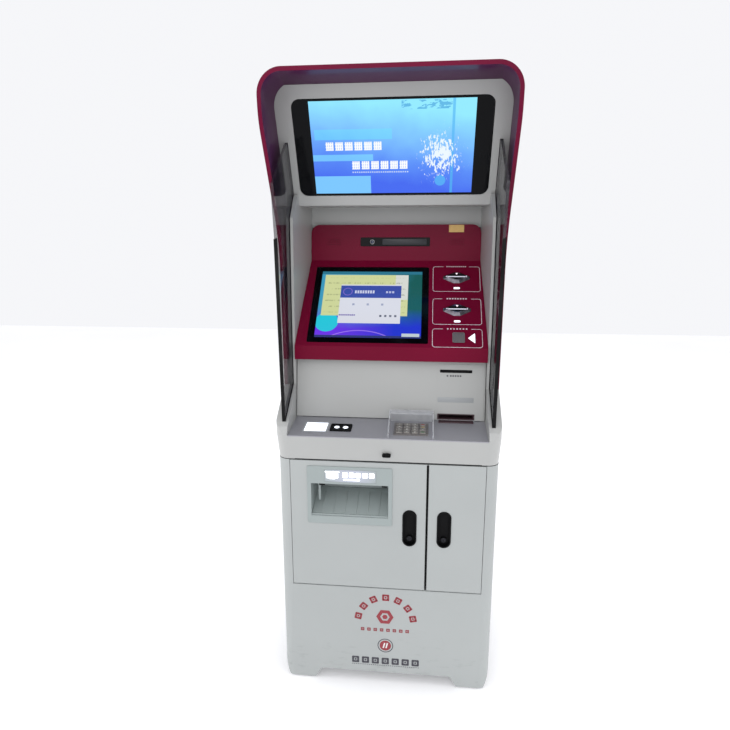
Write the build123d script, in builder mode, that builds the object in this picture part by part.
"""Free-standing self-service banking terminal: steel cabinet, sloped console and hooded display.

Frame: millimetres, +Z up, the user's side faces -Y, +X is to the user's right, and the origin
is on the floor under the middle of the machine's bounding box.
"""
from build123d import *
from math import atan2, cos, degrees, radians, sin, sqrt, tan
import os

os.makedirs("parts", exist_ok=True)

# ---------------------------------------------------------------- driving dimensions
overall_width = 680.0
overall_depth = 640.0
cabinet_height = 778.0        # floor to the seam under the apron
apron_height = 82.0
console_height = 188.0        # white panel between the shelf and the facia, along its slope
facia_lip = 44.0
facia_slope = 353.0           # length of the leaning face that holds the touch screen
facia_lean = 44.0             # degrees back from vertical
facia_upright = 120.0
lip_return = 38.0             # folded back under the facia, behind the console panel
recess_height = 56.0          # between the facia's top and the display
display_tilt = 24.4           # degrees, top forward
surround_below = 39.0         # display surround below the display's glass line
surround_length = 346.0       # display surround, bottom edge to top edge
hood_top_gap = 14.0           # surround's top edge to the top of the hood

cabinet_width = overall_width - 6
hood_overhang = 70.0          # the hood's rim stands this far in front of the cabinet
apron_overhang = 20.0
corner_r = 35.0
sheet = 2.0                   # folded steel sheet
moulding = 5.0                # moulded deck and surround walls
facia_wall = 4.0
hood_wall = 11.0              # rim of the hood
rim_depth = 32.0
hood_corner_r = 66.0

clear = 0.5                   # between fixed pieces that are fitted side by side
seam = 3.0                    # between the doors, and under the apron
door_gap = 1.5                # between a door and its frame
running = 0.05                # radial clearance of turning fits

# ---------------------------------------------------------------- levels and places
front_y = -overall_depth / 2 + hood_overhang      # face of the cabinet
rim_y = -overall_depth / 2
back_y = overall_depth / 2
cabinet_depth = back_y - front_y
cabinet_mid_y = (front_y + back_y) / 2

shelf_tilt = 7.6
shelf_depth = 137.0
shelf_half = overall_width / 2 - 41
deck_y, deck_z = front_y - apron_overhang, cabinet_height + apron_height
shelf_back_y = deck_y + shelf_depth * cos(radians(shelf_tilt))
shelf_back_z = deck_z + shelf_depth * sin(radians(shelf_tilt))

console_lean = 10.0
console_foot = 2.0                                 # panel's lower edge above the shelf
lip_y = shelf_back_y + 2.0
lip_z = shelf_back_z + console_foot + console_height * cos(radians(console_lean)) + 1
slope_y, slope_z = lip_y + 2, lip_z + facia_lip
crease_y = slope_y + facia_slope * sin(radians(facia_lean))
crease_z = slope_z + facia_slope * cos(radians(facia_lean))
facia_top_y, facia_top_z = crease_y + 10, crease_z + facia_upright

recess_y = facia_top_y + 14
recess_top_z = facia_top_z + recess_height
screen_y = front_y + 211.0                         # display plane at the glass line
screen_z = recess_top_z + surround_below * cos(radians(display_tilt))
surround_above = surround_length - surround_below
surround_top_z = screen_z + surround_above * cos(radians(display_tilt))
hood_top_z = surround_top_z + hood_top_gap

column_y = front_y + 130.0                         # front edge of the column's side walls
lining_in_front = overall_width / 2 - 39           # half-widths of the white lining
lining_in_back = lining_in_front - 13
glass_x = overall_width / 2 - 25                   # middle of the side glass
glass_t = 8.0


def facing(y, z, lean=0.0):
    """Plane with X across the machine and Y up its face, leaning back by lean degrees."""
    a = radians(lean)
    return Plane(origin=(0, y, z), x_dir=(1, 0, 0), z_dir=(0, -cos(a), sin(a)))


def side(x=0.0):
    """Plane of the side view: X runs to the back, Y runs up, and it is extruded across."""
    return Plane.YZ.offset(x)


def lining_half(y):
    """Inner half-width of the white lining, which narrows towards the back."""
    share = (y - column_y) / (recess_y - column_y)
    return lining_in_front + (lining_in_back - lining_in_front) * share


def save(piece, name, colour):
    piece.part.label = name
    piece.part.color = Color(*colour)
    export_step(piece.part, f"parts/{name}.step")


white, maroon, grey = (0.80, 0.81, 0.80), (0.42, 0.08, 0.19), (0.55, 0.56, 0.58)
black, steel, clear_grey = (0.06, 0.06, 0.07), (0.62, 0.63, 0.65), (0.30, 0.31, 0.35)

# ---------------------------------------------------------------- cabinet shell
bottom_z = 4.0                 # the shell hangs this far above the floor, on its feet
bay_half = cabinet_width / 2 - corner_r - 2
sill_z = 348.0                 # top of the fixed sill under the doors
front_arch, side_arch, arch_r = 39.0, 67.0, 18.0
foot_in, foot_out = 103.0, 22.0
jamb_depth = 33.0
rear_half = cabinet_width / 2 - 82
rear_low, rear_high = 150.0, cabinet_height - 38
split_x = 125.0                # middle of the gap between the doors
pin_r = 2.0
pin_in, pin_back = 9.0, 4.0    # hinge pin, from the door's edge and from its face
hinge_at = {
    "left": (-bay_half + door_gap + pin_in, front_y + pin_back),
    "right": (bay_half - door_gap - pin_in, front_y + pin_back),
    "rear": (rear_half - door_gap - pin_in, back_y - pin_back),
}
inlet_x, inlet_z, inlet_w, inlet_h = -cabinet_width / 2 + 87, 120.0, 48.0, 26.0

with BuildPart() as cabinet_shell:
    with BuildSketch(Plane.XY.offset(bottom_z)):
        with Locations((0, cabinet_mid_y)):
            RectangleRounded(cabinet_width, cabinet_depth, corner_r)
            RectangleRounded(
                cabinet_width - 2 * sheet, cabinet_depth - 2 * sheet, corner_r - sheet, mode=Mode.SUBTRACT
            )
    extrude(amount=cabinet_height - bottom_z)
    with BuildSketch(facing(front_y - 1, 0)):
        with Locations((0, (sill_z + cabinet_height) / 2)):
            Rectangle(2 * bay_half, cabinet_height - sill_z + 2)
    extrude(amount=-(sheet + 2), mode=Mode.SUBTRACT)
    with BuildSketch(facing(back_y + 1, 0)):
        with Locations((0, (rear_low + rear_high) / 2)):
            Rectangle(2 * rear_half, rear_high - rear_low)
    extrude(amount=sheet + 2, mode=Mode.SUBTRACT)
    # arches between the feet, front and back, then both sides
    with BuildSketch(facing(front_y - 1, 0)):
        with BuildLine():
            low, high = cabinet_width / 2 - foot_in, cabinet_width / 2 - foot_in - foot_out
            Polyline((-low, 0), (-high, front_arch), (high, front_arch), (low, 0), close=True)
        make_face()
        fillet(vertices().group_by(Axis.Y)[-1], arch_r)
    extrude(amount=-(cabinet_depth + 2), mode=Mode.SUBTRACT)
    with BuildSketch(side()):
        with BuildLine():
            near, far = front_y + sheet + 1, back_y - sheet - 1
            Polyline(
                (near, 0), (near + 28, side_arch), (far - 28, side_arch), (far, 0), close=True
            )
        make_face()
        fillet(vertices().group_by(Axis.Y)[-1], arch_r)
    extrude(amount=cabinet_width, both=True, mode=Mode.SUBTRACT)
    # folded sills above and below the doors, and the jambs behind the posts
    for level in (sill_z - sheet, cabinet_height - sheet):
        with BuildSketch(Plane.XY.offset(level)):
            with Locations((0, front_y + 1 + jamb_depth / 2)):
                Rectangle(2 * bay_half + 8, jamb_depth)
        extrude(amount=sheet)
    for edge in (-1, 1):
        with BuildSketch(Plane.XY.offset(sill_z - sheet)):
            with Locations((edge * (bay_half + 3), front_y + 1 + jamb_depth / 2)):
                Rectangle(sheet, jamb_depth)
        extrude(amount=cabinet_height - sill_z + sheet)
    for level in (rear_low - sheet, rear_high):
        with BuildSketch(Plane.XY.offset(level)):
            with Locations((0, back_y - 1 - jamb_depth / 2)):
                Rectangle(2 * rear_half + 8, jamb_depth)
        extrude(amount=sheet)
    # holes for the hinge pins and the mains inlet
    with BuildSketch(Plane.XY.offset(rear_low - 10)):
        with Locations(*hinge_at.values()):
            Circle(pin_r)
    extrude(amount=cabinet_height, mode=Mode.SUBTRACT)
    with BuildSketch(facing(back_y + 1, 0)):
        with Locations((inlet_x, inlet_z)):
            RectangleRounded(inlet_w, inlet_h, 3)
    extrude(amount=sheet + 2, mode=Mode.SUBTRACT)

# ---------------------------------------------------------------- floor pan and feet
pan_z, pan_t, pan_rim = 72.0, 3.0, 24.0
foot_x, foot_y = cabinet_width / 2 - 50, cabinet_depth / 2 - 50
anchor_x, anchor_y, anchor_r = cabinet_width / 2 - 97, cabinet_depth / 2 - 105, 7.0
stud_r, pad_r, pad_h = 6.0, 20.0, 10.0
cable_hole_r = 20.0
pan_width = cabinet_width - 2 * sheet - 2 * clear
pan_depth = cabinet_depth - 2 * sheet - 2 * clear
pan_corner = corner_r - sheet - clear

with BuildPart() as floor_pan:
    with BuildSketch(Plane.XY.offset(pan_z)):
        with Locations((0, cabinet_mid_y)):
            RectangleRounded(pan_width, pan_depth, pan_corner)
        with Locations((0, cabinet_mid_y)):
            with GridLocations(2 * anchor_x, 2 * anchor_y, 2, 2):
                Circle(anchor_r, mode=Mode.SUBTRACT)
            with GridLocations(2 * foot_x, 2 * foot_y, 2, 2):
                Circle(stud_r + clear / 2, mode=Mode.SUBTRACT)
            with Locations((0, cabinet_depth / 2 - 70)):
                Circle(cable_hole_r, mode=Mode.SUBTRACT)
            with GridLocations(0, 22, 1, 7):
                SlotOverall(180, 8, mode=Mode.SUBTRACT)
    extrude(amount=pan_t)
    with BuildSketch(Plane.XY.offset(pan_z + pan_t)):
        with Locations((0, cabinet_mid_y)):
            RectangleRounded(pan_width, pan_depth, pan_corner)
            RectangleRounded(
                pan_width - 2 * pan_t, pan_depth - 2 * pan_t, pan_corner - pan_t, mode=Mode.SUBTRACT
            )
    extrude(amount=pan_rim)

with BuildPart() as levelling_feet:
    with Locations((0, cabinet_mid_y, 0)):
        with GridLocations(2 * foot_x, 2 * foot_y, 2, 2):
            Cone(pad_r, pad_r - 5, pad_h, align=(Align.CENTER, Align.CENTER, Align.MIN))
            Cylinder(stud_r, pan_z + pan_t + 22, align=(Align.CENTER, Align.CENTER, Align.MIN))
    with BuildSketch(Plane.XY.offset(pan_z - 9)):
        with Locations((0, cabinet_mid_y)):
            with GridLocations(2 * foot_x, 2 * foot_y, 2, 2):
                RegularPolygon(11, 6)
    extrude(amount=8.8)

# ---------------------------------------------------------------- frame inside the cabinet
tube = 25.0
post_x = cabinet_width / 2 - sheet - tube / 2 - 12
post_front_y = front_y + jamb_depth + 1 + tube / 2 + 5
post_back_y = back_y - sheet - tube / 2 - 16
frame_low, frame_top = pan_z + pan_t, cabinet_height - 6
shelf_z = 395.0
mullion_half = 17.0
door_depth = 18.0
mullion_y = front_y + door_depth + 2
printer_x, printer_half = -95.0, 190.0

with BuildPart() as inner_frame:
    for px in (-post_x, post_x):
        for py in (post_front_y, post_back_y):
            with BuildSketch(Plane.XY.offset(frame_low)):
                with Locations((px, py)):
                    Rectangle(tube, tube)
                    Rectangle(tube - 4, tube - 4, mode=Mode.SUBTRACT)
            extrude(amount=frame_top - frame_low)
        with BuildSketch(side(px - tube / 2)):
            with Locations(((post_front_y + post_back_y) / 2, shelf_z - tube / 2)):
                Rectangle(post_back_y - post_front_y - tube, tube)
        extrude(amount=tube)
    with BuildSketch(facing(post_front_y - tube / 2, 0)):
        with Locations((0, frame_top - tube / 2)):
            Rectangle(2 * post_x - tube, tube)
    extrude(amount=-tube)
    with BuildSketch(facing(post_back_y - tube / 2, 0)):
        with Locations((0, frame_top - tube / 2)):
            Rectangle(2 * post_x - tube, tube)
    extrude(amount=-tube)
    # shelf for the report printer
    with BuildSketch(Plane.XY.offset(shelf_z)):
        with Locations((0, (post_front_y + post_back_y) / 2)):
            Rectangle(2 * post_x + tube, post_back_y - post_front_y - tube)
    extrude(amount=sheet)
    # strip behind the gap between the doors, where both locks catch
    with BuildSketch(facing(mullion_y, 0)):
        with Locations((split_x, (sill_z + cabinet_height) / 2 - sheet / 2)):
            Rectangle(2 * mullion_half, cabinet_height - sill_z - sheet - 1)
    extrude(amount=-sheet)
    # arm that carries the strip back to the top rail
    arm_length = post_front_y - tube / 2 - (mullion_y + sheet)
    with BuildSketch(facing(mullion_y + sheet, 0)):
        with Locations((split_x, frame_top - tube / 2)):
            Rectangle(2 * mullion_half - 10, tube)
    extrude(amount=-arm_length)

# ---------------------------------------------------------------- deck moulding
wing_in = lining_in_front                           # inner face of the side wings
seal_t = 4.0
glass_tip_y, glass_tip_z = front_y + 8, deck_z + 39
glass_low_y, glass_low_z = column_y + 35, deck_z + 151


def wing_z(y):
    """Height of the wings' sloping top, one seal below the glass's lower edge."""
    rise = (glass_low_z - glass_tip_z) / (glass_low_y - glass_tip_y)
    return glass_tip_z - seal_t * sqrt(1 + rise**2) + rise * (y - glass_tip_y)


sensor_w, sensor_h, sensor_z = 26.0, 10.0, cabinet_height + 26

with BuildPart() as deck_moulding:
    with BuildSketch(Plane.XY.offset(cabinet_height)):
        with Locations((0, cabinet_mid_y)):
            RectangleRounded(cabinet_width - 1, cabinet_depth - 1, corner_r - 0.5)
    with BuildSketch(Plane.XY.offset(deck_z)):
        with Locations((0, (deck_y + back_y) / 2)):
            RectangleRounded(overall_width, back_y - deck_y, corner_r + 3)
    loft()
    with BuildSketch(Plane.XY.offset(deck_z)):
        with Locations((0, (deck_y + back_y) / 2)):
            RectangleRounded(overall_width, back_y - deck_y, corner_r + 3)
    extrude(amount=wing_z(column_y) - deck_z)
    # side view: sloping deck in front, wings up to the column
    with BuildSketch(side()):
        with BuildLine():
            Polyline(
                (deck_y - 1, cabinet_height - 1),
                (deck_y - 1, deck_z + 2),
                (deck_y + 13, wing_z(deck_y + 13)),
                (column_y - 1, wing_z(column_y - 1)),
                (column_y - 1, shelf_back_z),
                (back_y + 1, shelf_back_z),
                (back_y + 1, cabinet_height - 1),
                close=True,
            )
        make_face()
    extrude(amount=overall_width, both=True, mode=Mode.INTERSECT)
    # the deck between the wings lies on the shelf's slope
    with BuildSketch(side()):
        with BuildLine():
            reach = shelf_depth + 30
            Polyline(
                (deck_y - 60, deck_z - 60 * tan(radians(shelf_tilt))),
                (deck_y + reach * cos(radians(shelf_tilt)), deck_z + reach * sin(radians(shelf_tilt))),
                (deck_y + reach, deck_z + 300),
                (deck_y - 60, deck_z + 300),
                close=True,
            )
        make_face()
    extrude(amount=wing_in, both=True, mode=Mode.SUBTRACT)
    # hollow underneath, open towards the cabinet
    with BuildSketch(Plane.XY.offset(cabinet_height)):
        with Locations((0, cabinet_mid_y)):
            RectangleRounded(cabinet_width - 2 * moulding, cabinet_depth - 2 * moulding, corner_r - moulding)
    extrude(amount=apron_height - 12, mode=Mode.SUBTRACT)
    # opening for the shelf's devices and the column
    with BuildSketch(Plane.XY.offset(cabinet_height)):
        with Locations((0, (deck_y + 20 + back_y - 25) / 2)):
            Rectangle(2 * shelf_half - 30, back_y - 25 - (deck_y + 20))
    extrude(amount=apron_height + shelf_depth, mode=Mode.SUBTRACT)
    # seat for the shelf plate
    with BuildSketch(facing(deck_y, deck_z, 90 - shelf_tilt)):
        with Locations((0, shelf_depth / 2)):
            Rectangle(2 * shelf_half + 2 * clear, shelf_depth + 2 * clear)
    extrude(amount=-3, mode=Mode.SUBTRACT)
    # hole for the presence sensor
    with BuildSketch(facing(deck_y - 5, sensor_z)):
        SlotOverall(sensor_w + 2 * clear, sensor_h + 2 * clear)
    extrude(amount=-60, mode=Mode.SUBTRACT)

# ---------------------------------------------------------------- shelf and what sits in it
shelf_plane = facing(deck_y, deck_z, 90 - shelf_tilt)
shelf_sunk = 2.8
scanner_x, scanner_s, scanner_w, scanner_d = -shelf_half + 77, 63.0, 74.0, 66.0
reader_x, reader_s, reader_w, reader_d = -shelf_half + 155, 62.0, 66.0, 48.0
pad_x, pad_s, pad_w, pad_d = 71.0, 64.0, 104.0, 78.0


def on_shelf(x, s, up=0.0):
    """Point on the shelf: x across, s up the slope from its front edge, up above it."""
    return shelf_plane.from_local_coords((x, s, up))


with BuildPart() as deck_shelf:
    with BuildSketch(shelf_plane.offset(-shelf_sunk)):
        with Locations((0, shelf_depth / 2)):
            Rectangle(2 * shelf_half, shelf_depth)
        with Locations((scanner_x, scanner_s)):
            RectangleRounded(scanner_w + 2 * clear, scanner_d + 2 * clear, 4, mode=Mode.SUBTRACT)
        with Locations((reader_x, reader_s)):
            RectangleRounded(reader_w + 2 * clear, reader_d + 2 * clear, 4, mode=Mode.SUBTRACT)
        with Locations((pad_x, pad_s)):
            Rectangle(pad_w + 2 * clear, pad_d + 2 * clear, mode=Mode.SUBTRACT)
    extrude(amount=shelf_sunk + 0.2)

with BuildPart() as scanner_window:
    with BuildSketch(shelf_plane.offset(-shelf_sunk)):
        with Locations((scanner_x, scanner_s)):
            RectangleRounded(scanner_w, scanner_d, 4)
    extrude(amount=shelf_sunk + 0.8)
    # lamp box under the window
    with BuildSketch(shelf_plane.offset(-shelf_sunk)):
        with Locations((scanner_x, scanner_s)):
            Rectangle(scanner_w - 6, scanner_d - 6)
    extrude(amount=-32)

with BuildPart() as code_reader:
    with BuildSketch(shelf_plane.offset(-shelf_sunk)):
        with Locations((reader_x, reader_s)):
            RectangleRounded(reader_w, reader_d, 4)
    extrude(amount=shelf_sunk + 3)
    with BuildSketch(shelf_plane.offset(3)):
        with Locations((reader_x, reader_s)):
            RectangleRounded(reader_w - 10, reader_d - 10, 3)
    extrude(amount=-1.5, mode=Mode.SUBTRACT)
    with BuildSketch(shelf_plane.offset(1.5)):
        with Locations((reader_x - 13, reader_s), (reader_x + 14, reader_s)):
            Circle(8)
    extrude(amount=1)
    with BuildSketch(shelf_plane.offset(-shelf_sunk)):
        with Locations((reader_x, reader_s)):
            Rectangle(reader_w - 8, reader_d - 8)
    extrude(amount=-28)

# ---------------------------------------------------------------- keypad
key_rows, key_columns = 4, 4
key_w, key_d = 19.0, 12.0
key_pitch_x, key_pitch_s = 24.0, 17.0
key_play, key_travel = 0.4, 1.5
pad_top = 4.0                                       # keypad face above the shelf
key_proud = 2.5
key_deep = 5.0
pad_low = 14.0
key_seats = [
    (pad_x + (column - (key_columns - 1) / 2) * key_pitch_x, pad_s - (row - (key_rows - 1) / 2) * key_pitch_s)
    for row in range(key_rows)
    for column in range(key_columns)
]

with BuildPart() as keypad_body:
    with BuildSketch(shelf_plane.offset(-pad_low)):
        with Locations((pad_x, pad_s)):
            Rectangle(pad_w, pad_d)
    extrude(amount=pad_low + pad_top)
    with BuildSketch(shelf_plane.offset(pad_top)):
        with Locations(*key_seats):
            RectangleRounded(key_w + 2 * key_play, key_d + 2 * key_play, 2)
    extrude(amount=-(key_deep + key_travel + 1), mode=Mode.SUBTRACT)

shelf_normal = Axis(shelf_plane.origin, shelf_plane.z_dir)
keys = []
for seat in key_seats:
    with BuildPart() as key:
        with BuildSketch(shelf_plane.offset(pad_top - key_deep)):
            with Locations(seat):
                RectangleRounded(key_w, key_d, 2)
        extrude(amount=key_deep + key_proud)
        fillet(key.edges().group_by(shelf_normal)[-1], 0.8)
    keys.append(key)

# hand shield round three sides of the keypad
guard_t, guard_half, guard_reach = 4.0, 69.0, 118.0
guard_front, guard_back, guard_roof = 9.0, 38.0, 26.0
guard_s = 9.0

with BuildPart() as pin_shroud:
    with BuildSketch(side(pad_x - guard_half)):
        with BuildLine():
            corners = [
                on_shelf(0, guard_s, 0.4),
                on_shelf(0, guard_s, guard_front),
                on_shelf(0, guard_s + guard_reach - guard_roof, guard_back),
                on_shelf(0, guard_s + guard_reach, guard_back),
                on_shelf(0, guard_s + guard_reach, 0.4),
            ]
            Polyline(*[(p.Y, p.Z) for p in corners], close=True)
        make_face()
    extrude(amount=2 * guard_half)
    with BuildSketch(side(pad_x - guard_half + guard_t)):
        with BuildLine():
            inner = [
                on_shelf(0, guard_s - 2, -3),
                on_shelf(0, guard_s - 2, 80),
                on_shelf(0, guard_s + guard_reach - guard_roof, 80),
                on_shelf(0, guard_s + guard_reach - guard_roof, guard_back - guard_t),
                on_shelf(0, guard_s + guard_reach - guard_t, guard_back - guard_t),
                on_shelf(0, guard_s + guard_reach - guard_t, -3),
            ]
            Polyline(*[(p.Y, p.Z) for p in inner], close=True)
        make_face()
    extrude(amount=2 * guard_half - 2 * guard_t, mode=Mode.SUBTRACT)

# ---------------------------------------------------------------- console panel and receipts
console_plane = facing(shelf_back_y, shelf_back_z + console_foot, console_lean)
console_t = 4.0
console_half = lining_half(shelf_back_y + console_height * sin(radians(console_lean))) - clear - 1
mouth_x, mouth_s, mouth_w, mouth_h = shelf_half - 90, 10.5, 115.0, 18.0
slot_x, slot_s, slot_w, slot_h = shelf_half - 92, 154.0, 94.0, 5.0
receipt_panel_x, receipt_panel_w, receipt_panel_h = shelf_half - 77, 148.0, 176.0

with BuildPart() as console_panel:
    with BuildSketch(console_plane.offset(-console_t)):
        with Locations((0, console_height / 2)):
            Rectangle(2 * console_half, console_height)
    extrude(amount=console_t)
    # receipt panel stands a little proud, with the printed slot and the chute's mouth cut through
    with BuildSketch(console_plane):
        with Locations((receipt_panel_x, receipt_panel_h / 2)):
            RectangleRounded(receipt_panel_w - 4, receipt_panel_h, 5)
    extrude(amount=1.2)
    with BuildSketch(console_plane.offset(5)):
        with Locations((slot_x, slot_s)):
            Rectangle(slot_w, slot_h)
        with Locations((mouth_x, mouth_s)):
            Rectangle(mouth_w + 2 * clear, mouth_h + 2 * clear)
    extrude(amount=-(console_t + 10), mode=Mode.SUBTRACT)

mouth_depth = 52.0
with BuildPart() as receipt_mouth:
    with BuildSketch(console_plane.offset(2)):
        with Locations((mouth_x, mouth_s)):
            Rectangle(mouth_w, mouth_h)
    extrude(amount=-(mouth_depth + 2))
    # chute narrows from the mouth to the paper slot at its back
    with BuildSketch(console_plane.offset(3)):
        with Locations((mouth_x, mouth_s)):
            Rectangle(mouth_w - 6, mouth_h - 5)
    with BuildSketch(console_plane.offset(-mouth_depth - 1)):
        with Locations((mouth_x, mouth_s + 5)):
            Rectangle(mouth_w - 25, 7)
    loft(mode=Mode.SUBTRACT)

printer_w, printer_h, printer_d = 132.0, 86.0, 96.0
roll_r, roll_w, spindle_r = 36.0, 80.0, 6.0
roll_y, roll_z = shelf_back_y + 118, shelf_back_z + 142

with BuildPart() as receipt_printer:
    with BuildSketch(side(mouth_x - printer_w / 2)):
        with Locations((roll_y - 8, shelf_back_z + 42)):
            Rectangle(printer_d, printer_h)
    extrude(amount=printer_w)
    # two cheeks hold the spindle of the paper roll
    for cheek in (-1, 1):
        with BuildSketch(side(mouth_x + cheek * (roll_w / 2 + 6) - 2)):
            with Locations((roll_y, (roll_z + shelf_back_z + 85) / 2)):
                Rectangle(26, roll_z - shelf_back_z - 85 + 26)
        extrude(amount=4)
    with BuildSketch(side(mouth_x - roll_w / 2 - 8)):
        with Locations((roll_y, roll_z)):
            Circle(spindle_r)
    extrude(amount=roll_w + 16)

with BuildPart() as receipt_roll:
    with BuildSketch(side(mouth_x - roll_w / 2)):
        with Locations((roll_y, roll_z)):
            Circle(roll_r)
            Circle(spindle_r + running, mode=Mode.SUBTRACT)
    extrude(amount=roll_w)

with BuildPart() as apron_sensor:
    with BuildSketch(facing(deck_y + 3, sensor_z)):
        SlotOverall(sensor_w, sensor_h)
    extrude(amount=-24)
    with BuildSketch(facing(deck_y + 3, sensor_z)):
        with Locations((-6, 0), (6, 0)):
            Circle(3)
    extrude(amount=-1.5, mode=Mode.SUBTRACT)

# ---------------------------------------------------------------- facia
facia_plane = facing(slope_y, slope_z, facia_lean)
upper_plane = facing(crease_y, crease_z, degrees(atan2(facia_top_y - crease_y, facia_upright)))
touch_w, touch_h, touch_r = 382.0, 310.0, 5.0
touch_x, touch_s = -lining_in_front + 36 + touch_w / 2, 169.0
bay_x = lining_in_front - 93                        # middle of the three device bays
card_s = (279.0, 146.0)
card_w, card_h, card_proud = 88.0, 47.0, 9.0
card_slot_w, card_slot_h = 58.0, 2.4
lamp_s = (235.0, 101.0)
chip_x, chip_s, chip_size = bay_x + 3.5, 38.0, 37.0
arrow_x = bay_x + 47
camera_w, camera_h, camera_t = 236.0, 29.0, 14.0
camera_z, lens_x = 63.0, -78.0
speaker_x, speaker_w, speaker_h = 210.0, 50.0, 26.0
hole_r = 1.1


def facia_half(y):
    return lining_half(y) - clear


def lens_outline(width, height):
    """Corners of the flattened lens shape of a card slot's bezel."""
    nose, brow = height * 0.12, width * 0.12
    right = [(width / 2, -nose), (width / 2, nose), (brow, height / 2)]
    return right + [(-x, y) for x, y in reversed(right)] + [(-brow, -height / 2), (brow, -height / 2)]


with BuildPart() as facia:
    with BuildSketch(side()):
        with BuildLine():
            outer = [(lip_y, lip_z), (slope_y, slope_z), (crease_y, crease_z), (facia_top_y, facia_top_z)]
            t = facia_wall
            Polyline(
                *outer,
                (facia_top_y + t, facia_top_z),
                (crease_y + t, crease_z + t * 0.3),
                (slope_y + t, slope_z + t * 0.3),
                (lip_y + t, lip_z + t),
                (lip_y + lip_return, lip_z + t),
                (lip_y + lip_return, lip_z),
                close=True,
            )
        make_face()
    extrude(amount=overall_width, both=True)
    # the sides draw in towards the back, and the top corners are round
    with BuildSketch(facing(lip_y - 50, 0)):
        with BuildLine():
            levels = [(y, z) for y, z in outer]
            right = [(facia_half(y), z) for y, z in levels]
            left = [(-facia_half(y), z) for y, z in reversed(levels)]
            Polyline(*right, *left, close=True)
        make_face()
        fillet(vertices().group_by(Axis.Y)[-1], 30)
    extrude(amount=-overall_depth, mode=Mode.INTERSECT)
    with BuildSketch(Plane.XY.offset(lip_z - 1)):
        with BuildLine():
            near, far = lip_y - 1, recess_y
            Polyline(
                (-facia_half(near), near), (facia_half(near), near),
                (facia_half(far), far), (-facia_half(far), far), close=True,
            )
        make_face()
    extrude(amount=facia_top_z - lip_z + 2, mode=Mode.INTERSECT)
    with BuildSketch(facia_plane.offset(5)):
        with Locations((touch_x, touch_s)):
            RectangleRounded(touch_w + 2 * clear, touch_h + 2 * clear, touch_r + clear)
        for s in card_s:
            with Locations((bay_x, s)):
                Rectangle(card_slot_w + 8, 12)
        for s in lamp_s:
            with Locations((bay_x, s)):
                SlotOverall(21, 8)
        with Locations((chip_x, chip_s)):
            RectangleRounded(chip_size - 2, chip_size - 2, 3)
    extrude(amount=-(facia_wall + 10), mode=Mode.SUBTRACT)
    with BuildSketch(facia_plane.offset(5)):
        with Locations((arrow_x, chip_s)):
            Triangle(a=39, b=30, c=30, rotation=90)
    extrude(amount=-(facia_wall + 10), mode=Mode.SUBTRACT)
    with BuildSketch(upper_plane.offset(5)):
        with Locations((0, camera_z)):
            RectangleRounded(camera_w + 2 * clear, camera_h + 2 * clear, 3)
        for x in (-speaker_x, speaker_x):
            with Locations((x, camera_z)):
                with GridLocations(6, 6, 8, 4):
                    Circle(hole_r)
    extrude(amount=-(facia_wall + 10), mode=Mode.SUBTRACT)

with BuildPart() as touch_screen:
    with BuildSketch(facia_plane.offset(-facia_wall)):
        with Locations((touch_x, touch_s)):
            RectangleRounded(touch_w, touch_h, touch_r)
    extrude(amount=facia_wall - 1)
    with BuildSketch(facia_plane.offset(-facia_wall)):
        with Locations((touch_x, touch_s)):
            Rectangle(touch_w - 30, touch_h - 26)
    extrude(amount=-34)

with BuildPart() as camera_bar:
    with BuildSketch(upper_plane.offset(-0.5)):
        with Locations((0, camera_z)):
            RectangleRounded(camera_w, camera_h, 3)
    extrude(amount=-camera_t)
    with BuildSketch(upper_plane.offset(-0.5)):
        with Locations((lens_x, camera_z)):
            Circle(8)
    extrude(amount=-3, mode=Mode.SUBTRACT)
    with BuildSketch(upper_plane.offset(-3.5)):
        with Locations((lens_x, camera_z)):
            Circle(6)
    extrude(amount=2)

with BuildPart() as card_slots:
    for s in card_s:
        for up, share in ((0.2, 1.0), (card_proud, 0.62)):
            with BuildSketch(facia_plane.offset(up)):
                with Locations((bay_x, s)):
                    Polygon(*lens_outline(card_w * share, card_h * share))
        loft()
    for s in card_s:
        with BuildSketch(facia_plane.offset(0.2)):
            with Locations((bay_x, s)):
                Rectangle(card_slot_w + 6, 10)
        extrude(amount=-(facia_wall + 1))
    for s in card_s:
        with BuildSketch(facia_plane.offset(card_proud + 1)):
            with Locations((bay_x, s)):
                Rectangle(card_slot_w, card_slot_h)
        extrude(amount=-(card_proud + facia_wall + 4), mode=Mode.SUBTRACT)

card_reader_w, card_reader_h, card_reader_d = 78.0, 36.0, 116.0
with BuildPart() as card_readers:
    for s in card_s:
        with BuildSketch(facia_plane.offset(-facia_wall - 2)):
            with Locations((bay_x, s)):
                Rectangle(card_reader_w, card_reader_h)
                Rectangle(card_slot_w, card_slot_h, mode=Mode.SUBTRACT)
        extrude(amount=-card_reader_d)

with BuildPart() as chip_reader:
    with BuildSketch(facia_plane.offset(0.2)):
        with Locations((chip_x, chip_s)):
            RectangleRounded(chip_size, chip_size, 4)
            RectangleRounded(chip_size - 10, chip_size - 10, 2, mode=Mode.SUBTRACT)
    extrude(amount=2)
    with BuildSketch(facia_plane.offset(0.2)):
        with Locations((chip_x, chip_s)):
            RectangleRounded(chip_size - 3, chip_size - 3, 3)
    extrude(amount=-22)

with BuildPart() as indicator_lamps:
    for s in lamp_s:
        with BuildSketch(facia_plane.offset(0.6)):
            with Locations((bay_x, s)):
                SlotOverall(20, 7)
        extrude(amount=-(facia_wall + 2))
    with BuildSketch(facia_plane.offset(0.4)):
        with Locations((arrow_x, chip_s)):
            Triangle(a=36, b=27.5, c=27.5, rotation=90)
    extrude(amount=-(facia_wall + 2))

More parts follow.
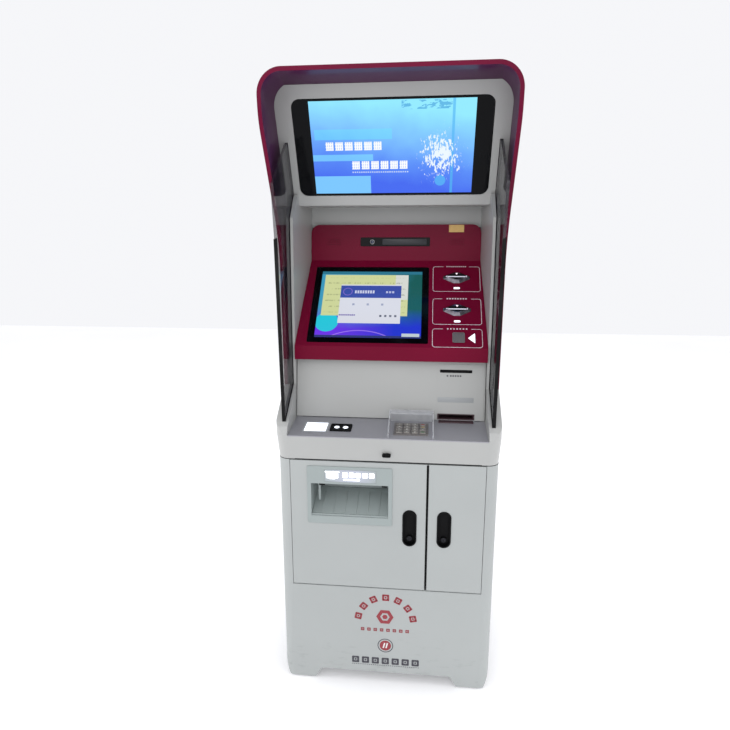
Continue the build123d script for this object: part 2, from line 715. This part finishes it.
with BuildPart() as speakers:
    for x in (-speaker_x, speaker_x):
        with BuildSketch(upper_plane.offset(-facia_wall - 2)):
            with Locations((x, camera_z)):
                Rectangle(speaker_w, speaker_h + 4)
        extrude(amount=-24)

# ---------------------------------------------------------------- hood and column
bend_z, brow_z = facia_top_z - 54, screen_z + 169   # where the rim's side edge turns
hood_back_r = 120.0
foot_z = shelf_back_z + 0.3
half = overall_width / 2


top_fall = 25.0                                     # the hood's top falls this much towards the back
vent_pitch, vent_h = 16.0, 5.0
hood_vent_x, hood_vent_drop = 110.0, 330.0
display_plane = facing(screen_y, screen_z, -display_tilt)
window_w, window_h, window_r = overall_width - 103, 282.0, 25.0
window_s = 134.0
lining_out = glass_x - glass_t / 2 - 2


def hood_inside(wall):
    """Solid that fills the hood up to this distance from its outer faces."""
    with BuildPart() as inside:
        with BuildSketch(side()):
            with BuildLine():
                run = FilletPolyline(
                    (rim_y - 50, foot_z - 30),
                    (rim_y - 50, hood_top_z - wall + top_fall * 50 / overall_depth),
                    (back_y - wall, hood_top_z - top_fall - wall),
                    (back_y - wall, foot_z - 30),
                    radius=[0, hood_back_r - wall],
                )
                Line(run @ 1, run @ 0)
            make_face()
        extrude(amount=half - wall, both=True)
        with BuildSketch(facing(rim_y - 60, 0)):
            with BuildLine():
                arch = FilletPolyline(
                    (wall - half, foot_z - 30), (wall - half, hood_top_z - wall),
                    (half - wall, hood_top_z - wall), (half - wall, foot_z - 30),
                    radius=hood_corner_r - wall,
                )
                Line(arch @ 1, arch @ 0)
            make_face()
        extrude(amount=-(overall_depth + 80), mode=Mode.INTERSECT)
    return inside.part


def front_edge(set_back):
    """Corners of the hood's front edge in the side view, moved back, and then round the back."""
    return [
        (column_y + 4 + set_back, foot_z), (column_y - 10 + set_back, bend_z),
        (rim_y + 10 + set_back, brow_z), (rim_y + set_back, hood_top_z),
        (back_y, hood_top_z - top_fall), (back_y, foot_z),
    ]


rim_hollow, surround_limit = hood_inside(hood_wall), hood_inside(sheet + clear)

# behind the rim only the skin is left
with BuildPart() as skin_hollow:
    with BuildSketch(side()):
        with BuildLine():
            inner_edge = FilletPolyline(*front_edge(rim_depth), radius=[340, 150, 0, hood_back_r])
            Line(inner_edge @ 1, inner_edge @ 0)
        make_face()
    extrude(amount=half, both=True)
    add(hood_inside(sheet), mode=Mode.INTERSECT)

with BuildPart() as hood_shell:
    with BuildSketch(side()):
        with BuildLine():
            edge = FilletPolyline(*front_edge(0), radius=[340, 150, 0, hood_back_r])
            Line(edge @ 1, edge @ 0)
        make_face()
    extrude(amount=half, both=True)
    with BuildSketch(facing(rim_y - 10, 0)):
        with BuildLine():
            outline = FilletPolyline(
                (-half, foot_z - 1), (-half, hood_top_z), (half, hood_top_z), (half, foot_z - 1),
                radius=hood_corner_r,
            )
            Line(outline @ 1, outline @ 0)
        make_face()
    extrude(amount=-(overall_depth + 20), mode=Mode.INTERSECT)
    add(rim_hollow, mode=Mode.SUBTRACT)
    add(skin_hollow.part, mode=Mode.SUBTRACT)
    # louvres that let the warm air out at the back
    with BuildSketch(facing(back_y + 1, 0)):
        for x in (-hood_vent_x, hood_vent_x):
            with Locations((x, hood_top_z - hood_vent_drop)):
                with GridLocations(0, vent_pitch, 1, 9):
                    SlotOverall(150, vent_h)
    extrude(amount=sheet + 2, mode=Mode.SUBTRACT)

# ---------------------------------------------------------------- white surround and display
surround_t = 6.0
slot_gap = 1.0
slot_top_s = 156.0

with BuildPart() as lining_sides:
    with BuildSketch(Plane.XY.offset(foot_z + clear)):
        for edge in (-1, 1):
            with BuildLine():
                Polyline(
                    (edge * lining_out, column_y),
                    (edge * lining_half(column_y), column_y),
                    (edge * lining_half(recess_y + moulding), recess_y + moulding),
                    (edge * lining_out, recess_y + moulding),
                    close=True,
                )
            make_face()
    extrude(amount=recess_top_z + 30 - foot_z)
    with BuildSketch(side()):
        with BuildLine():
            Polyline(
                (column_y, foot_z), (column_y, recess_top_z - 360), (column_y + 12, recess_top_z - 40),
                (screen_y + 2, screen_z + 8), (recess_y + moulding, recess_top_z + moulding),
                (recess_y + moulding, foot_z), close=True,
            )
        make_face()
    extrude(amount=overall_width, both=True, mode=Mode.INTERSECT)

with BuildPart() as display_surround:
    with BuildSketch(display_plane):
        with Locations((0, surround_length / 2 - surround_below)):
            Rectangle(overall_width, surround_length + 20)
    extrude(amount=-surround_t)
    with BuildSketch(Plane.XY.offset(recess_top_z)):
        with Locations((0, 0)):
            Rectangle(2 * overall_width, 2 * overall_depth)
    extrude(amount=surround_length, mode=Mode.INTERSECT)
    add(surround_limit, mode=Mode.INTERSECT)
    with BuildSketch(display_plane.offset(10)):
        with Locations((0, window_s)):
            RectangleRounded(window_w + 2 * clear, window_h + 2 * clear, window_r + clear)
        for x in (-glass_x, glass_x):
            with Locations((x, slot_top_s - 150)):
                Rectangle(glass_t + 2 * slot_gap, 300)
    extrude(amount=-(surround_t + 60), mode=Mode.SUBTRACT)
    # ledge under the display and the wall behind the recess
    ledge_y = screen_y + surround_below * sin(radians(display_tilt)) + 1
    with BuildSketch(Plane.XY.offset(recess_top_z)):
        with Locations((0, (ledge_y + recess_y + moulding) / 2)):
            Rectangle(2 * lining_out, recess_y + moulding - ledge_y)
    extrude(amount=moulding)
    with BuildSketch(facing(recess_y, 0)):
        with Locations((0, (facia_top_z - 8 + recess_top_z) / 2)):
            Rectangle(2 * lining_out, recess_top_z - facia_top_z + 10)
    extrude(amount=-moulding)
    add(lining_sides.part)

with BuildPart() as display_panel:
    with BuildSketch(display_plane.offset(-1.5)):
        with Locations((0, window_s)):
            RectangleRounded(window_w, window_h, window_r)
    extrude(amount=-4)
    with BuildSketch(display_plane.offset(-surround_t - 1)):
        with Locations((0, window_s)):
            Rectangle(window_w + 14, window_h + 14)
    extrude(amount=-26)
    with BuildSketch(display_plane.offset(-5)):
        with Locations((0, window_s)):
            Rectangle(window_w - 80, window_h - 60)
    extrude(amount=-6)

# ---------------------------------------------------------------- side glass and its seals
glass_bend_y, glass_bend_z = front_y - 18, bend_z + 10
glass_brow_y, glass_brow_z = front_y - 38, screen_z + 10
glass_top_y, glass_top_z = front_y + 138, screen_z + 140
glass_rear_y = glass_low_y

side_panes = []
for edge in (-1, 1):
    with BuildPart() as pane:
        with BuildSketch(side(edge * glass_x - glass_t / 2)):
            with BuildLine():
                FilletPolyline(
                    (glass_tip_y, glass_tip_z), (glass_bend_y, glass_bend_z), (glass_brow_y, glass_brow_z),
                    (glass_top_y, glass_top_z), (screen_y + 5, screen_z + 15),
                    (glass_rear_y, recess_top_z - 30), (glass_low_y, glass_low_z),
                    radius=[3, 140, 8, 5, 20, 20, 3], close=True,
                )
            make_face()
        extrude(amount=glass_t)
    side_panes.append(pane)

seal_w = glass_t + 3
with BuildPart() as glass_seals:
    for edge in (-1, 1):
        with BuildSketch(side(edge * glass_x - seal_w / 2)):
            with BuildLine():
                lower = Line((glass_tip_y, glass_tip_z), (glass_low_y, glass_low_z))
                low_out = Line(
                    (glass_low_y, glass_low_z - seal_t * 1.2), (glass_tip_y, glass_tip_z - seal_t * 1.2)
                )
                Line(lower @ 1, low_out @ 0)
                Line(low_out @ 1, lower @ 0)
            make_face()
        extrude(amount=seal_w)

# ---------------------------------------------------------------- doors
pin_in_door = 16.0
door_low, door_high = sill_z + seam, cabinet_height - sheet - door_gap
door_x = {
    "left": (-bay_half + door_gap, split_x - door_gap),
    "right": (split_x + door_gap, bay_half - door_gap),
}
handle_x = {"left": split_x - 53, "right": split_x + 53}
handle_w, handle_h, handle_z = 44.0, 122.0, 563.0
cup_depth, flange_t = 15.0, 2.0
lock_r, lock_drop, cam_length, cam_w, cam_t = 8.0, 38.0, 47.0, 14.0, 3.0
outlet_x, outlet_z, outlet_w, outlet_h = -bay_half + 186, 663.0, 264.0, 190.0
mouth_z, paper_w, paper_h = outlet_z - 15.5, 240.0, 108.0
sign_z, sign_w, sign_h = outlet_z + 65.5, 158.0, 39.0
duct_t, duct_depth = 2.0, 120.0


def door_tray(x_low, x_high, z_low, z_high, face_y, out, hinge_x):
    """Folded door: skin, four turned edges and two hinge blocks; out is -1 in front, +1 behind."""
    with BuildPart() as tray:
        with BuildSketch(facing(face_y, 0)):
            with Locations(((x_low + x_high) / 2, (z_low + z_high) / 2)):
                Rectangle(x_high - x_low, z_high - z_low)
        extrude(amount=out * door_depth)
        with BuildSketch(facing(face_y - out * sheet, 0)):
            with Locations(((x_low + x_high) / 2, (z_low + z_high) / 2)):
                Rectangle(x_high - x_low - 2 * sheet, z_high - z_low - 2 * sheet)
        extrude(amount=out * door_depth, mode=Mode.SUBTRACT)
        for level in (z_low, z_high - pin_in_door):
            with BuildSketch(Plane.XY.offset(level)):
                with Locations((hinge_x, face_y - out * 7)):
                    Rectangle(14, 14)
            extrude(amount=pin_in_door)
        with BuildSketch(Plane.XY.offset(z_low)):
            with Locations((hinge_x, face_y - out * pin_back)):
                Circle(pin_r + running)
        extrude(amount=z_high - z_low, mode=Mode.SUBTRACT)
    return tray.part


left_tray = door_tray(*door_x["left"], door_low, door_high, front_y, -1, hinge_at["left"][0])
right_tray = door_tray(*door_x["right"], door_low, door_high, front_y, -1, hinge_at["right"][0])
rear_tray = door_tray(
    -rear_half + door_gap, rear_half - door_gap, rear_low + seam, rear_high - door_gap,
    back_y, 1, hinge_at["rear"][0],
)

with BuildPart() as left_door:
    add(left_tray)
    with BuildSketch(facing(front_y - 1, 0)):
        with Locations((outlet_x, outlet_z)):
            Rectangle(outlet_w - 16, outlet_h - 16)
        with Locations((handle_x["left"], handle_z)):
            SlotOverall(handle_h - 3, handle_w - 3, rotation=90)
    extrude(amount=-(sheet + 2), mode=Mode.SUBTRACT)
    # stiffener across the back, below the handle
    with BuildSketch(facing(front_y + sheet, 0)):
        with Locations(((door_x["left"][0] + door_x["left"][1]) / 2, handle_z - handle_h / 2 - 40)):
            Rectangle(door_x["left"][1] - door_x["left"][0] - 2 * sheet, 30)
    extrude(amount=-6)

with BuildPart() as right_door:
    add(right_tray)
    with BuildSketch(facing(front_y - 1, 0)):
        with Locations((handle_x["right"], handle_z)):
            SlotOverall(handle_h - 3, handle_w - 3, rotation=90)
    extrude(amount=-(sheet + 2), mode=Mode.SUBTRACT)

rear_lock_x, rear_lock_z = -rear_half + 34, (rear_low + rear_high) / 2
with BuildPart() as rear_door:
    add(rear_tray)
    with BuildSketch(facing(back_y + 1, 0)):
        with Locations((rear_lock_x, rear_lock_z)):
            Circle(lock_r + 2 * running)
        for z in (rear_low + 120, rear_high - 120):
            for x in (-90, 90):
                with Locations((x, z)):
                    with GridLocations(0, vent_pitch, 1, 7):
                        SlotOverall(130, vent_h)
    extrude(amount=sheet + 2, mode=Mode.SUBTRACT)

handles = {}
for hand in ("left", "right"):
    with BuildPart() as handle:
        with BuildSketch(facing(front_y - 0.1, 0)):
            with Locations((handle_x[hand], handle_z)):
                SlotOverall(handle_h, handle_w, rotation=90)
        extrude(amount=flange_t)
        fillet(handle.faces().sort_by(Axis.Y)[0].edges(), 1.2)
        with BuildSketch(facing(front_y - 0.1, 0)):
            with Locations((handle_x[hand], handle_z)):
                SlotOverall(handle_h - 4, handle_w - 4, rotation=90)
        extrude(amount=-cup_depth)
        with BuildSketch(facing(front_y - 5, 0)):
            with Locations((handle_x[hand], handle_z)):
                SlotOverall(handle_h - 8, handle_w - 8, rotation=90)
        extrude(amount=-(cup_depth + 5 - 1.9), mode=Mode.SUBTRACT)
        with BuildSketch(facing(front_y - 5, 0)):
            with Locations((handle_x[hand], handle_z - lock_drop)):
                Circle(lock_r + 2 * running)
        extrude(amount=-(cup_depth + 10), mode=Mode.SUBTRACT)
    handles[hand] = handle


def cam_lock(x, z, face_y, out, cam_y):
    """Key cylinder with its cam pointing up, unlocked; cam_y is the cam's outer face."""
    with BuildPart() as lock:
        with BuildSketch(facing(face_y, z)):
            with Locations((x, 0)):
                Circle(lock_r)
        extrude(amount=out * (abs(cam_y - face_y) + cam_t))
        with BuildSketch(facing(cam_y, z)):
            with Locations((x, 0)):
                Circle(lock_r + 2)
            with Locations((x, cam_length / 2)):
                Rectangle(cam_w, cam_length)
        extrude(amount=out * cam_t)
        with BuildSketch(facing(face_y, z)):
            with Locations((x, 0)):
                Rectangle(1.6, 8)
        extrude(amount=out * 2, mode=Mode.SUBTRACT)
    return lock


cam_y = mullion_y + sheet + 2
lock_z = handle_z - lock_drop
locks = {hand: cam_lock(handle_x[hand], lock_z, front_y + 6, -1, cam_y) for hand in handles}
rear_lock = cam_lock(rear_lock_x, rear_lock_z, back_y - 0.5, 1, back_y - door_depth - 4)

pins = [
    (hinge_at["left"], sill_z - 10, door_low + pin_in_door - 1),
    (hinge_at["left"], door_high - pin_in_door + 1, cabinet_height - 0.2),
    (hinge_at["right"], sill_z - 10, door_low + pin_in_door - 1),
    (hinge_at["right"], door_high - pin_in_door + 1, cabinet_height - 0.2),
    (hinge_at["rear"], rear_low - 10, rear_low + seam + pin_in_door - 1),
    (hinge_at["rear"], rear_high - door_gap - pin_in_door + 1, rear_high + 10),
]
with BuildPart() as hinge_pins:
    for (px, py), low, high in pins:
        with BuildSketch(Plane.XY.offset(low)):
            with Locations((px, py)):
                Circle(pin_r)
        extrude(amount=high - low)

# ---------------------------------------------------------------- report outlet in the left door
with BuildPart() as outlet_bezel:
    with BuildSketch(facing(front_y - 0.1, 0)):
        with Locations((outlet_x, outlet_z)):
            RectangleRounded(outlet_w, outlet_h, 5)
    extrude(amount=3)
    fillet(outlet_bezel.faces().sort_by(Axis.Y)[0].edges(), 1.5)
    with BuildSketch(facing(front_y + 1, 0)):
        with Locations((outlet_x, mouth_z)):
            Rectangle(paper_w + 2 * duct_t, paper_h + 2 * duct_t)
    extrude(amount=-duct_depth)
    with BuildSketch(facing(front_y - 0.1, 0)):
        with Locations((outlet_x, mouth_z)):
            Rectangle(paper_w + 2 * duct_t, paper_h + 2 * duct_t)
    extrude(amount=-1.2)
    with BuildSketch(facing(front_y - 5, 0)):
        with Locations((outlet_x, mouth_z)):
            Rectangle(paper_w, paper_h)
    extrude(amount=-(duct_depth + 4), mode=Mode.SUBTRACT)
    with BuildSketch(facing(front_y - 5, 0)):
        with Locations((outlet_x, mouth_z + paper_h / 2 - 16)):
            Rectangle(paper_w - 24, 14)
    extrude(amount=-(duct_depth + 10), mode=Mode.SUBTRACT)
    with BuildSketch(facing(front_y - 5, 0)):
        with Locations((outlet_x + 3, sign_z)):
            Rectangle(sign_w + 2 * clear, sign_h + 2 * clear)
    extrude(amount=-20, mode=Mode.SUBTRACT)

with BuildPart() as outlet_tray:
    with BuildSketch(side(outlet_x - paper_w / 2 + clear)):
        with BuildLine():
            floor_z = mouth_z - paper_h / 2 + clear
            Polyline(
                (front_y, floor_z), (front_y, floor_z + 5), (front_y + 4, floor_z + 5),
                (front_y + 8, floor_z + 4), (front_y + duct_depth - 6, floor_z + 44),
                (front_y + duct_depth - 6, floor_z), close=True,
            )
        make_face()
    extrude(amount=paper_w - 2 * clear)
    with BuildSketch(side(outlet_x - paper_w / 2 + clear + 3)):
        with BuildLine():
            Polyline(
                (front_y + 4, floor_z - 1), (front_y + 10, floor_z + 2),
                (front_y + duct_depth - 4, floor_z + 41), (front_y + duct_depth - 4, floor_z - 1), close=True,
            )
        make_face()
    extrude(amount=paper_w - 2 * clear - 6, mode=Mode.SUBTRACT)

with BuildPart() as outlet_sign:
    with BuildSketch(facing(front_y - 3.1, 0)):
        with Locations((outlet_x + 3, sign_z)):
            Rectangle(sign_w, sign_h)
    extrude(amount=-16)

# ---------------------------------------------------------------- machines inside
printer_low, printer_high, printer_front = shelf_z + sheet + 0.5, 640.0, front_y + 132
printer_length, printer_shell = cabinet_depth - 240, 12.0
chimney_w, chimney_d = 230.0, 60.0                  # lifts the printed sheets to the outlet
drawer_h = 70.0
computer_x, computer_w, computer_length, computer_h = 205.0, 130.0, cabinet_depth - 250, 300.0
computer_shell = 3.0

with BuildPart() as report_printer:
    with BuildSketch(Plane.XY.offset(printer_low)):
        with Locations((printer_x, printer_front + 5 + printer_length / 2)):
            RectangleRounded(2 * printer_half, printer_length, 12)
    extrude(amount=printer_high - printer_low)
    with BuildSketch(Plane.XY.offset(printer_high)):
        with Locations((printer_x, printer_front + 10 + chimney_d / 2)):
            Rectangle(chimney_w, chimney_d)
    extrude(amount=mouth_z + paper_h / 2 - printer_high)
    # paper drawer
    with BuildSketch(facing(printer_front, 0)):
        with Locations((printer_x, printer_low + 7 + drawer_h / 2)):
            Rectangle(2 * printer_half - 40, drawer_h)
    extrude(amount=-8, mode=Mode.SUBTRACT)
    with BuildSketch(facing(printer_front + 8, 0)):
        with Locations((printer_x, printer_low + 7 + drawer_h / 2)):
            Rectangle(2 * printer_half - 46, drawer_h - 6)
    extrude(amount=6)
    # hollow casing
    with BuildSketch(Plane.XY.offset(printer_low + printer_shell)):
        with Locations((printer_x, printer_front + 5 + printer_length / 2 + printer_shell / 2)):
            Rectangle(2 * printer_half - 2 * printer_shell, printer_length - 3 * printer_shell)
    extrude(amount=printer_high - printer_low - 2 * printer_shell, mode=Mode.SUBTRACT)

with BuildPart() as computer:
    with BuildSketch(Plane.XY.offset(printer_low)):
        with Locations((computer_x, cabinet_mid_y)):
            Rectangle(computer_w, computer_length)
    extrude(amount=computer_h)
    with BuildSketch(Plane.XY.offset(printer_low + computer_shell)):
        with Locations((computer_x, cabinet_mid_y)):
            Rectangle(computer_w - 2 * computer_shell, computer_length - 2 * computer_shell)
    extrude(amount=computer_h - 2 * computer_shell, mode=Mode.SUBTRACT)
    with BuildSketch(facing(cabinet_mid_y - computer_length / 2 - 1, 0)):
        with Locations((computer_x, printer_low + 80)):
            with GridLocations(0, vent_pitch - 4, 1, 7):
                SlotOverall(computer_w - 40, vent_h)
    extrude(amount=-(computer_shell + 2), mode=Mode.SUBTRACT)

socket_w, socket_h, socket_depth = 25.0, 17.0, 16.0
socket_pin_w, socket_pin_h, socket_pin_x = 2.0, 4.0, 7.0
with BuildPart() as power_inlet:
    with BuildSketch(facing(back_y - 0.5, 0)):
        with Locations((inlet_x, inlet_z)):
            RectangleRounded(inlet_w, inlet_h, 3)
    extrude(amount=34)
    with BuildSketch(facing(back_y - 0.5, 0)):
        with Locations((inlet_x, inlet_z)):
            RectangleRounded(socket_w, socket_h, 3)
    extrude(amount=socket_depth, mode=Mode.SUBTRACT)
    with BuildSketch(facing(back_y - socket_depth - 1, 0)):
        with Locations(
            (inlet_x - socket_pin_x, inlet_z - 2), (inlet_x, inlet_z + 2),
            (inlet_x + socket_pin_x, inlet_z - 2),
        ):
            Rectangle(socket_pin_w, socket_pin_h)
    extrude(amount=-13)

# ---------------------------------------------------------------- names, colours and files
pieces = {
    "cabinet_shell": (cabinet_shell, white),
    "floor_pan": (floor_pan, steel),
    "levelling_feet": (levelling_feet, black),
    "inner_frame": (inner_frame, steel),
    "deck_moulding": (deck_moulding, white),
    "deck_shelf": (deck_shelf, grey),
    "scanner_window": (scanner_window, clear_grey),
    "code_reader": (code_reader, black),
    "keypad_body": (keypad_body, grey),
    "pin_shroud": (pin_shroud, clear_grey),
    "console_panel": (console_panel, white),
    "receipt_mouth": (receipt_mouth, black),
    "receipt_printer": (receipt_printer, grey),
    "receipt_roll": (receipt_roll, white),
    "apron_sensor": (apron_sensor, black),
    "facia": (facia, maroon),
    "touch_screen": (touch_screen, black),
    "camera_bar": (camera_bar, black),
    "card_slots": (card_slots, clear_grey),
    "card_readers": (card_readers, steel),
    "chip_reader": (chip_reader, black),
    "indicator_lamps": (indicator_lamps, white),
    "speakers": (speakers, black),
    "hood_shell": (hood_shell, maroon),
    "display_surround": (display_surround, white),
    "display_panel": (display_panel, black),
    "side_glass_left": (side_panes[0], clear_grey),
    "side_glass_right": (side_panes[1], clear_grey),
    "glass_seals": (glass_seals, black),
    "left_door": (left_door, white),
    "left_handle": (handles["left"], black),
    "left_lock": (locks["left"], steel),
    "outlet_bezel": (outlet_bezel, grey),
    "outlet_tray": (outlet_tray, grey),
    "outlet_sign": (outlet_sign, white),
    "right_door": (right_door, white),
    "right_handle": (handles["right"], black),
    "right_lock": (locks["right"], steel),
    "rear_door": (rear_door, white),
    "rear_lock": (rear_lock, steel),
    "hinge_pins": (hinge_pins, steel),
    "report_printer": (report_printer, grey),
    "computer": (computer, black),
    "power_inlet": (power_inlet, black),
}
for name, (piece, colour) in pieces.items():
    save(piece, name, colour)
for number, key in enumerate(keys, start=1):
    save(key, f"key_{number:02d}", grey)
